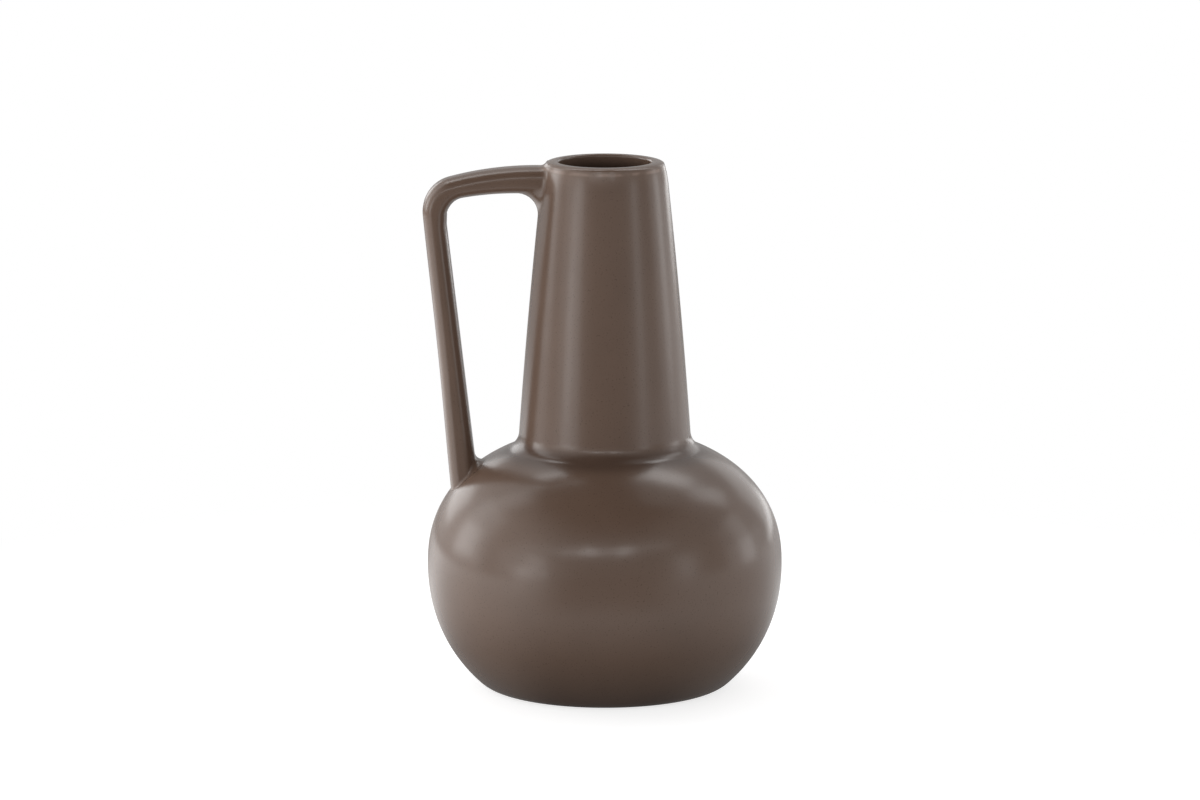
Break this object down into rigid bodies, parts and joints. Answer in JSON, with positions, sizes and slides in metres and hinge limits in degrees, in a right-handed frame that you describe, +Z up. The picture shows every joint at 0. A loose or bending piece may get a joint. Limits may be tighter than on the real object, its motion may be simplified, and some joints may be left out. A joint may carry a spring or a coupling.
{
  "type": "stoneware jug vase",
  "caption": "Jug-shaped stoneware vase with a round bulb, a tall tapering neck, a small mouth and a squared strap handle at one side.",
  "frame": {"origin": "on the axis of the bulb and neck, at the level of the foot ring that the vase stands on", "axes": "+Z up along the axis of the bulb and neck; the handle is on the -X side, in the XZ plane; +Y is away from the pictured side"},
  "size_m": [0.1818, 0.18, 0.2693],
  "materials": {
    "satin_glaze": "taupe brown satin-matt glaze over stoneware, even all over, with wiped bare clay only on the foot ring"
  },
  "bodies": {
    "root": {"bulb": "satin_glaze", "neck": "satin_glaze", "handle": "satin_glaze"}
  },
  "joints": []
}
